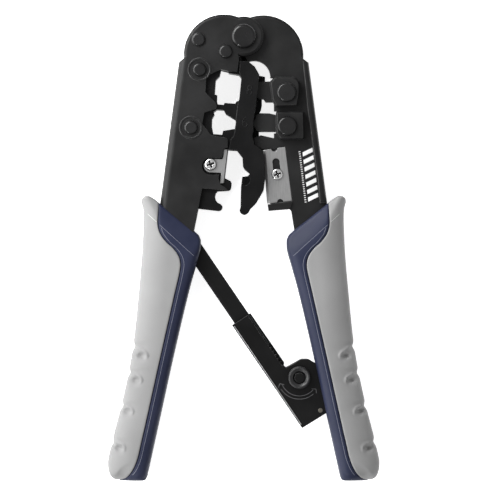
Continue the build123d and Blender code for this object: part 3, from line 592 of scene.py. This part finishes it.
bars = [
    print_block(1.0 + BAR_STEP * i, 2.7 + BAR_STEP * i, -1.4, 2.9, -1.5) for i in range(7)
]
bars += [
    print_block(0.4 + TICK_STEP * i, 0.75 + TICK_STEP * i, -2.9, -2.2, 0) for i in range(24)
]
plate_print = joined("plate_print", bars)
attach(plate_print, "right_handle")


# ---- materials -------------------------------------------------------------------------
class Shader:
    """Principled material built up from procedural nodes, in the object's own coordinates."""

    def __init__(self, name):
        self.material = bpy.data.materials.new(name)
        self.material.use_nodes = True
        self.tree = self.material.node_tree
        self.tree.nodes.clear()
        out = self.node("ShaderNodeOutputMaterial")
        self.bsdf = self.node("ShaderNodeBsdfPrincipled")
        self.link(self.bsdf.outputs["BSDF"], out.inputs["Surface"])
        self.place = self.node("ShaderNodeTexCoord").outputs["Object"]

    def node(self, kind, **values):
        made = self.tree.nodes.new(kind)
        for key, value in values.items():
            setattr(made, key, value)
        return made

    def link(self, a, b):
        self.tree.links.new(a, b)

    def stretched(self, scale, turn=0.0):
        """Coordinates scaled by a different amount on each axis, after a turn about Z."""
        mapping = self.node("ShaderNodeMapping")
        mapping.inputs["Scale"].default_value = scale
        mapping.inputs["Rotation"].default_value = (0, 0, math.radians(turn))
        self.link(self.place, mapping.inputs["Vector"])
        return mapping.outputs["Vector"]

    def noise(self, scale, detail=4.0, rough=0.55, place=None):
        made = self.node("ShaderNodeTexNoise")
        made.inputs["Scale"].default_value = scale
        made.inputs["Detail"].default_value = detail
        made.inputs["Roughness"].default_value = rough
        self.link(place or self.place, made.inputs["Vector"])
        return made.outputs["Fac"]

    def spread(self, value, low, high, to_low, to_high):
        made = self.node("ShaderNodeMapRange")
        for key, number in (
            ("From Min", low), ("From Max", high), ("To Min", to_low), ("To Max", to_high),
        ):
            made.inputs[key].default_value = number
        self.link(value, made.inputs["Value"])
        return made.outputs["Result"]

    def math(self, how, a, b):
        made = self.node("ShaderNodeMath", operation=how)
        for socket, value in zip(made.inputs, (a, b)):
            if isinstance(value, (int, float)):
                socket.default_value = value
            else:
                self.link(value, socket)
        return made.outputs["Value"]

    def mix(self, amount, a, b):
        made = self.node("ShaderNodeMix", data_type="RGBA")
        self.link(amount, made.inputs["Factor"])
        for socket, value in ((made.inputs[6], a), (made.inputs[7], b)):
            if isinstance(value, tuple):
                socket.default_value = (*value, 1)
            else:
                self.link(value, socket)
        return made.outputs[2]

    def edges(self, radius):
        """Rounded normal, and a mask that is 1 on sharp outer edges."""
        bevel = self.node("ShaderNodeBevel", samples=6)
        bevel.inputs["Radius"].default_value = radius
        flat = self.node("ShaderNodeNewGeometry").outputs["True Normal"]
        dot = self.node("ShaderNodeVectorMath", operation="DOT_PRODUCT")
        self.link(bevel.outputs["Normal"], dot.inputs[0])
        self.link(flat, dot.inputs[1])
        mask = self.spread(dot.outputs["Value"], 0.995, 0.86, 0.0, 1.0)
        return bevel.outputs["Normal"], mask

    def bumps(self, layers, normal=None):
        """Stacks bump layers, each (height, distance in metres, strength)."""
        for height, far, strength in layers:
            made = self.node("ShaderNodeBump")
            made.inputs["Distance"].default_value = far
            made.inputs["Strength"].default_value = strength
            self.link(height, made.inputs["Height"])
            if normal is not None:
                self.link(normal, made.inputs["Normal"])
            normal = made.outputs["Normal"]
        self.link(normal, self.bsdf.inputs["Normal"])

    def finish(self, colour, rough, metal, specular=0.5):
        self.link(colour, self.bsdf.inputs["Base Color"])
        self.link(rough, self.bsdf.inputs["Roughness"])
        self.bsdf.inputs["Metallic"].default_value = metal
        self.bsdf.inputs["Specular IOR Level"].default_value = specular
        return self.material


# height over which the painted shade in a screw's recess fades in
RECESS_SHADE_FADE = 0.00012


def grey(level, blue=None):
    """Neutral colour, or one with its own blue."""
    return (level, level, level if blue is None else blue)


def metal_paint(name, dark, light, edge_wear_and_sheen_colour, rough, grain, specular=0.5, bevel=0.00035):
    """Dark finish on steel: cloudy, finely grained, lighter along its edges, partly as abrasion and
    partly as a painted edge highlight.
    """
    s = Shader(name)
    normal, edge = s.edges(bevel)
    cloud = s.noise(70, 5.0)
    fine = s.noise(2600, 3.0)
    scuff = s.spread(s.noise(450, 6.0, 0.7), 0.55, 0.72, 0.0, 1.0)
    colour = s.mix(s.spread(cloud, 0.35, 0.65, 0.0, 1.0), dark, light)
    # lighter colour on sharp edges: partly abrasion, partly a painted edge highlight
    edge_wear_and_sheen_mask = s.math("MULTIPLY", edge, s.spread(s.noise(300, 4.0), 0.4, 0.65, 0.15, 0.9))
    colour = s.mix(edge_wear_and_sheen_mask, colour, edge_wear_and_sheen_colour)
    level = s.spread(cloud, 0.3, 0.7, rough - 0.05, rough + 0.06)
    level = s.math("ADD", level, s.math("MULTIPLY", scuff, 0.08))
    s.bumps([(fine, 0.00003, grain), (s.noise(500, 4.0), 0.00004, 0.25)], normal)
    return s.finish(colour, level, 0.35, specular)


def bright_steel(name, dark, light, rough, turn, bevel=0.0002, recess=None):
    """Ground steel with fine lines along one direction, with painted shade below a height."""
    s = Shader(name)
    normal, _ = s.edges(bevel)
    lines = s.noise(1.0, 4.0, 0.6, s.stretched((6500, 260, 6500), turn))
    cloud = s.noise(160, 4.0)
    amount = s.math("ADD", s.math("MULTIPLY", lines, 0.6), s.math("MULTIPLY", cloud, 0.4))
    colour = s.mix(s.spread(amount, 0.35, 0.65, 0.0, 1.0), dark, light)
    # painted shade: the colour goes dark below the given height, for the shade inside a screw's
    # cross recess
    if recess is not None:
        part = s.node("ShaderNodeSeparateXYZ")
        s.link(s.place, part.inputs["Vector"])
        painted_recess_shade = s.spread(part.outputs["Z"], recess - RECESS_SHADE_FADE, recess, 1.0, 0.0)
        colour = s.mix(painted_recess_shade, colour, grey(0.03))
    level = s.spread(amount, 0.3, 0.7, rough + 0.08, rough - 0.06)
    s.bumps([(lines, 0.00002, 0.35)], normal)
    return s.finish(colour, level, 1.0)


def moulded(name, dark, light, rough, grain, scale, specular=0.5, bevel=0.00025):
    """Moulded plastic or rubber with a fine spark-eroded grain."""
    s = Shader(name)
    normal, _ = s.edges(bevel)
    cloud = s.noise(55, 4.0)
    colour = s.mix(s.spread(cloud, 0.35, 0.65, 0.0, 1.0), dark, light)
    fine = s.noise(scale, 3.0, 0.6)
    cells = s.node("ShaderNodeTexVoronoi")
    cells.inputs["Scale"].default_value = scale * 0.7
    s.link(s.place, cells.inputs["Vector"])
    level = s.spread(s.noise(220, 5.0), 0.3, 0.7, rough - 0.05, rough + 0.07)
    pits = cells.outputs["Distance"]
    s.bumps([(fine, 0.00004, grain), (pits, 0.00003, grain * 0.8)], normal)
    return s.finish(colour, level, 0.0, specular)


BLACK_OXIDE = metal_paint(
    "black oxide", grey(0.007, 0.0072), grey(0.013, 0.0133), grey(0.10), 0.42, 0.3, 0.4
)
HOUSING_BLACK = metal_paint(
    "housing black", grey(0.003, 0.0032), grey(0.006, 0.0062), grey(0.12), 0.4, 0.25, 0.28
)
RIVET_BLACK = metal_paint(
    "rivet black", grey(0.010, 0.0103), grey(0.018, 0.0185), grey(0.14), 0.26, 0.2
)
CASTING = metal_paint(
    "enamelled casting", grey(0.003, 0.0032), grey(0.006, 0.0063), grey(0.06), 0.44, 0.7, 0.2
)
STEEL = bright_steel("plain steel", grey(0.40, 0.41), grey(0.62, 0.63), 0.3, 0)
BLADE = bright_steel("blade steel", grey(0.36), grey(0.52), 0.36, 82)
PIN_STEEL = bright_steel("pin steel", (0.14, 0.13, 0.11), (0.30, 0.28, 0.24), 0.28, 30)
NAVY = moulded(
    "navy plastic", (0.014, 0.018, 0.043), (0.020, 0.024, 0.053), 0.47, 0.35, 2400, 0.24
)
GREY = moulded("grey rubber", grey(0.24), grey(0.265), 0.62, 0.4, 1900, 0.4)
# painted highlight: much lighter colours for the fine beads on the grips, for the light along the
# crease and seam ridges
GREY_RIDGE_HIGHLIGHT = moulded("grey rubber ridge highlight", grey(0.55), grey(0.62), 0.5, 0.3, 1900)
NAVY_RIDGE_HIGHLIGHT = moulded(
    "navy plastic ridge highlight", (0.16, 0.17, 0.22), (0.20, 0.21, 0.26), 0.4, 0.3, 2400
)
# painted highlight for the housing's fold
FOLD_HIGHLIGHT = bright_steel("painted fold highlight", grey(0.55), grey(0.9), 0.3, 56)
KNOB_BLACK = moulded("knob black", grey(0.010, 0.011), grey(0.016, 0.017), 0.36, 0.3, 2600)
PRINT = moulded("printed white", grey(0.68), grey(0.8), 0.55, 0.2, 1500)
MARK_GREY = moulded("mark grey", grey(0.075, 0.078), grey(0.12, 0.125), 0.45, 0.2, 2000)

OF_NODE = {
    "black_oxide": BLACK_OXIDE, "black_casting": CASTING, "plain_steel": STEEL,
    "blade_steel": BLADE, "blue_plastic": NAVY, "grey_rubber": GREY, "black_plastic": KNOB_BLACK,
}


def wear_material(obj, material):
    """Gives an object one material in place of whatever it had."""
    obj.data.materials.clear()
    obj.data.materials.append(material)


slots = {p["node"]: p["material_slot"] for p in frame["record"]["subparts"]}
for node, obj in frame["nodes"].items():
    wear_material(obj, OF_NODE[slots[node]])
for node, material in (
    ("housing_stop_pin", PIN_STEEL), ("die_rivets", RIVET_BLACK), ("pivot_rivet", RIVET_BLACK),
    ("pusher_rivets", RIVET_BLACK), ("release_shaft", HOUSING_BLACK),
    ("ratchet_housing", HOUSING_BLACK), ("ratchet_bar", HOUSING_BLACK),
):
    wear_material(frame["nodes"][node], material)
SCREW_RECESS = 0.0003
# the cross recesses of the screws get painted shade below this height
for node in ("strip_blade_screw", "cutter_screw"):
    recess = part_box(node)[1].z - SCREW_RECESS
    wear_material(
        frame["nodes"][node],
        bright_steel(node, grey(0.62), grey(0.88), 0.24, 30, recess=recess),
    )
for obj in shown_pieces():
    if obj.name.endswith("grip_soft"):
        wear_material(obj, GREY)
    elif obj.name.endswith("grip_hard"):
        wear_material(obj, NAVY)
wear_material(knob, KNOB_BLACK)
wear_material(release_arrow, MARK_GREY)
wear_material(numerals, CASTING)
wear_material(fold_line, FOLD_HIGHLIGHT)
# the grip beads get the painted ridge highlight colours
for name, bead in beads.items():
    wear_material(bead, GREY_RIDGE_HIGHLIGHT if name.endswith("soft") else NAVY_RIDGE_HIGHLIGHT)
wear_material(plate_print, PRINT)

# ---- floor, light and camera -----------------------------------------------------------
low, high = CAD_BOX
centre = (low + high) / 2
FLOOR = 3.0
FLOOR_GAP = 0.0002
floor = new_object(
    "floor",
    [
        (x * FLOOR, y * FLOOR, low.z - FLOOR_GAP)
        for x, y in ((-1, -1), (1, -1), (1, 1), (-1, 1))
    ],
    [(0, 1, 2, 3)],
)
s = Shader("pale floor")
shade = s.spread(s.noise(3.0, 3.0), 0.3, 0.7, 0.0, 1.0)
s.bsdf.inputs["Emission Color"].default_value = (1, 1, 1, 1)
s.bsdf.inputs["Emission Strength"].default_value = 0.8
wear_material(floor, s.finish(
    s.mix(shade, grey(0.90), grey(0.93)), s.spread(shade, 0, 1, 0.7, 0.8), 0.0, 0.2
))


def area_light(name, place, size, power):
    """Soft square light that faces the tool."""
    data = bpy.data.lights.new(name, "AREA")
    data.shape = "SQUARE"
    data.size = size
    data.energy = power
    lamp = bpy.data.objects.new(name, data)
    bpy.context.scene.collection.objects.link(lamp)
    lamp.location = place
    lamp.rotation_mode = "QUATERNION"
    lamp.rotation_quaternion = (Vector(centre) - Vector(place)).to_track_quat("-Z", "Y")
    return lamp


area_light("key", (-1.0, -0.1, 0.5), 1.0, 13.5)
area_light("fill", (0.8, -0.5, 1.0), 0.9, 1.2)
area_light("top", (-0.18, 0.17, 0.24), 0.2, 1.5)
area_light("glint", (-0.5, -0.9, 0.75), 0.14, 3.2)

world = bpy.data.worlds.new("studio")
bpy.context.scene.world = world
world.use_nodes = True
tree = world.node_tree
sky = tree.nodes.new("ShaderNodeTexCoord")
part = tree.nodes.new("ShaderNodeSeparateXYZ")
fade = tree.nodes.new("ShaderNodeMapRange")
for key, number in (("From Min", 0.1), ("From Max", 0.95), ("To Min", 0.2), ("To Max", 0.5)):
    fade.inputs[key].default_value = number
tree.nodes["Background"].inputs["Color"].default_value = (1, 1, 1, 1)
tree.links.new(sky.outputs["Generated"], part.inputs["Vector"])
tree.links.new(part.outputs["Z"], fade.inputs["Value"])
tree.links.new(fade.outputs["Result"], tree.nodes["Background"].inputs["Strength"])
bpy.context.scene.view_settings.view_transform = "Standard"

VIEW_WIDTH = 0.205
VIEW_HEIGHT = 1.3
VIEW_SHIFT = (0.0026, -0.001)
SENSOR = 36.0
camera = bpy.data.cameras.new("camera")
camera.sensor_width = SENSOR
camera.lens = SENSOR * VIEW_HEIGHT / VIEW_WIDTH
camera.clip_end = 20.0
eye = bpy.data.objects.new("camera", camera)
bpy.context.scene.collection.objects.link(eye)
eye.location = (centre.x + VIEW_SHIFT[0], centre.y + VIEW_SHIFT[1], MID + VIEW_HEIGHT)
eye.rotation_euler = (0, 0, 0)
bpy.context.scene.camera = eye
